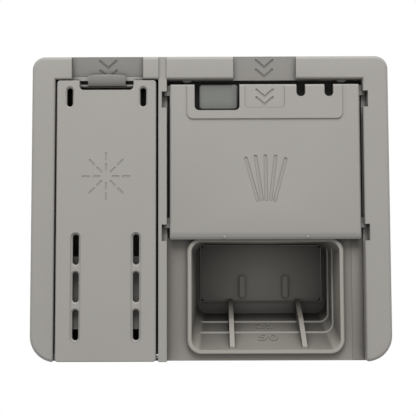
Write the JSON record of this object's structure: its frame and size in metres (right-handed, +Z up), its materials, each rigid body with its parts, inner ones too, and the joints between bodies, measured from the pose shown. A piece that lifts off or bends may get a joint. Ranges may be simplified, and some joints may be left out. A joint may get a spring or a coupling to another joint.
{
  "type": "dishwasher detergent dispenser",
  "caption": "Door-mounted dishwasher dispenser with a sliding lid over a detergent cup, a hinged rinse-aid lid with latch, and a release mechanism behind.",
  "frame": {"origin": "centre of the seal face that lies on the door sheet", "axes": "+X to the right as seen from the tub, +Y into the door, +Z up"},
  "size_m": [0.178, 0.054, 0.1518],
  "materials": {
    "body_grey": "fine satin texture",
    "lid_grey": "fine satin texture",
    "latch_grey": "satin",
    "button_grey": "satin",
    "seal_rubber": "matt",
    "tank_plastic": "satin",
    "black_plastic": "satin",
    "float_plastic": "satin",
    "magnet": "sintered",
    "screw_steel": "zinc plated",
    "yoke_steel": "zinc plated",
    "bobbin_plastic": "satin",
    "copper": "enamelled wire",
    "terminal_brass": "bright",
    "plunger_steel": "turned",
    "spring_steel": "bright",
    "pin_steel": "ground",
    "lever_plastic": "satin"
  },
  "bodies": {
    "housing": {"front_frame": "body_grey", "base_plate": "body_grey", "filler_neck": "body_grey", "bay_liner": "seal_rubber", "detergent_cup": "body_grey", "door_gasket": "seal_rubber", "rinse_tank": "tank_plastic", "level_sensor": "black_plastic", "rear_cover": "black_plastic", "cover_screws": "screw_steel", "solenoid_yoke": "yoke_steel", "solenoid_bobbin": "bobbin_plastic", "solenoid_coil": "copper", "terminal_blades": "terminal_brass", "shaft_seal": "seal_rubber", "hinge_pin": "pin_steel", "lid_spring": "spring_steel", "button_spring": "spring_steel", "plunger_spring": "spring_steel"},
    "detergent_lid": {"detergent_lid": "lid_grey", "lid_seal": "seal_rubber"},
    "rinse_aid_lid": {"rinse_aid_lid": "lid_grey", "filler_seal": "seal_rubber"},
    "lid_latch": {"lid_latch": "latch_grey"},
    "release_button": {"release_button": "button_grey", "button_clip": "spring_steel"},
    "release_shaft": {"release_shaft": "pin_steel", "pawl_lever": "lever_plastic", "dosing_arm": "lever_plastic", "valve_pad": "seal_rubber"},
    "plunger": {"plunger": "plunger_steel"},
    "tank_float": {"tank_float": "float_plastic", "float_magnet": "magnet"}
  },
  "joints": [
    {"name": "detergent_lid_slide", "type": "slide", "parent": "housing", "child": "detergent_lid", "axis": [0, 0, 1], "range_m": [-0.0586, 0], "stiffness_N_per_m": 30, "springref_m": 0.05, "deforming": ["lid_spring"]},
    {"name": "rinse_aid_lid_hinge", "type": "hinge", "parent": "housing", "child": "rinse_aid_lid", "pos_m": [-0.05173, -0.0067, -0.073], "axis": [1, 0, 0], "range_deg": [0, 95]},
    {"name": "lid_latch_press", "type": "hinge", "parent": "rinse_aid_lid", "child": "lid_latch", "pos_m": [-0.05173, -0.0059, 0.0616], "axis": [-1, 0, 0], "range_deg": [0, 8], "stiffness_Nm_per_rad": 0.03, "springref_deg": -5.73},
    {"name": "release_button_press", "type": "slide", "parent": "housing", "child": "release_button", "axis": [0, 1, 0], "range_m": [0, 0.0018], "stiffness_N_per_m": 250, "springref_m": -0.003, "deforming": ["button_spring"]},
    {"name": "release_turn", "type": "hinge", "parent": "housing", "child": "release_shaft", "pos_m": [0.02725, 0.006, 0.022], "axis": [1, 0, 0], "range_deg": [-9, 0]},
    {"name": "plunger_slide", "type": "slide", "parent": "housing", "child": "plunger", "axis": [0, 0, 1], "range_m": [-0.00188, 0], "deforming": ["plunger_spring"]},
    {"name": "float_slide", "type": "slide", "parent": "housing", "child": "tank_float", "axis": [0, 0, 1], "range_m": [0, 0.016]}
  ],
  "couplings": [
    {"joint": "release_turn", "follows": "plunger_slide", "rad_per_m": 83.333}
  ]
}
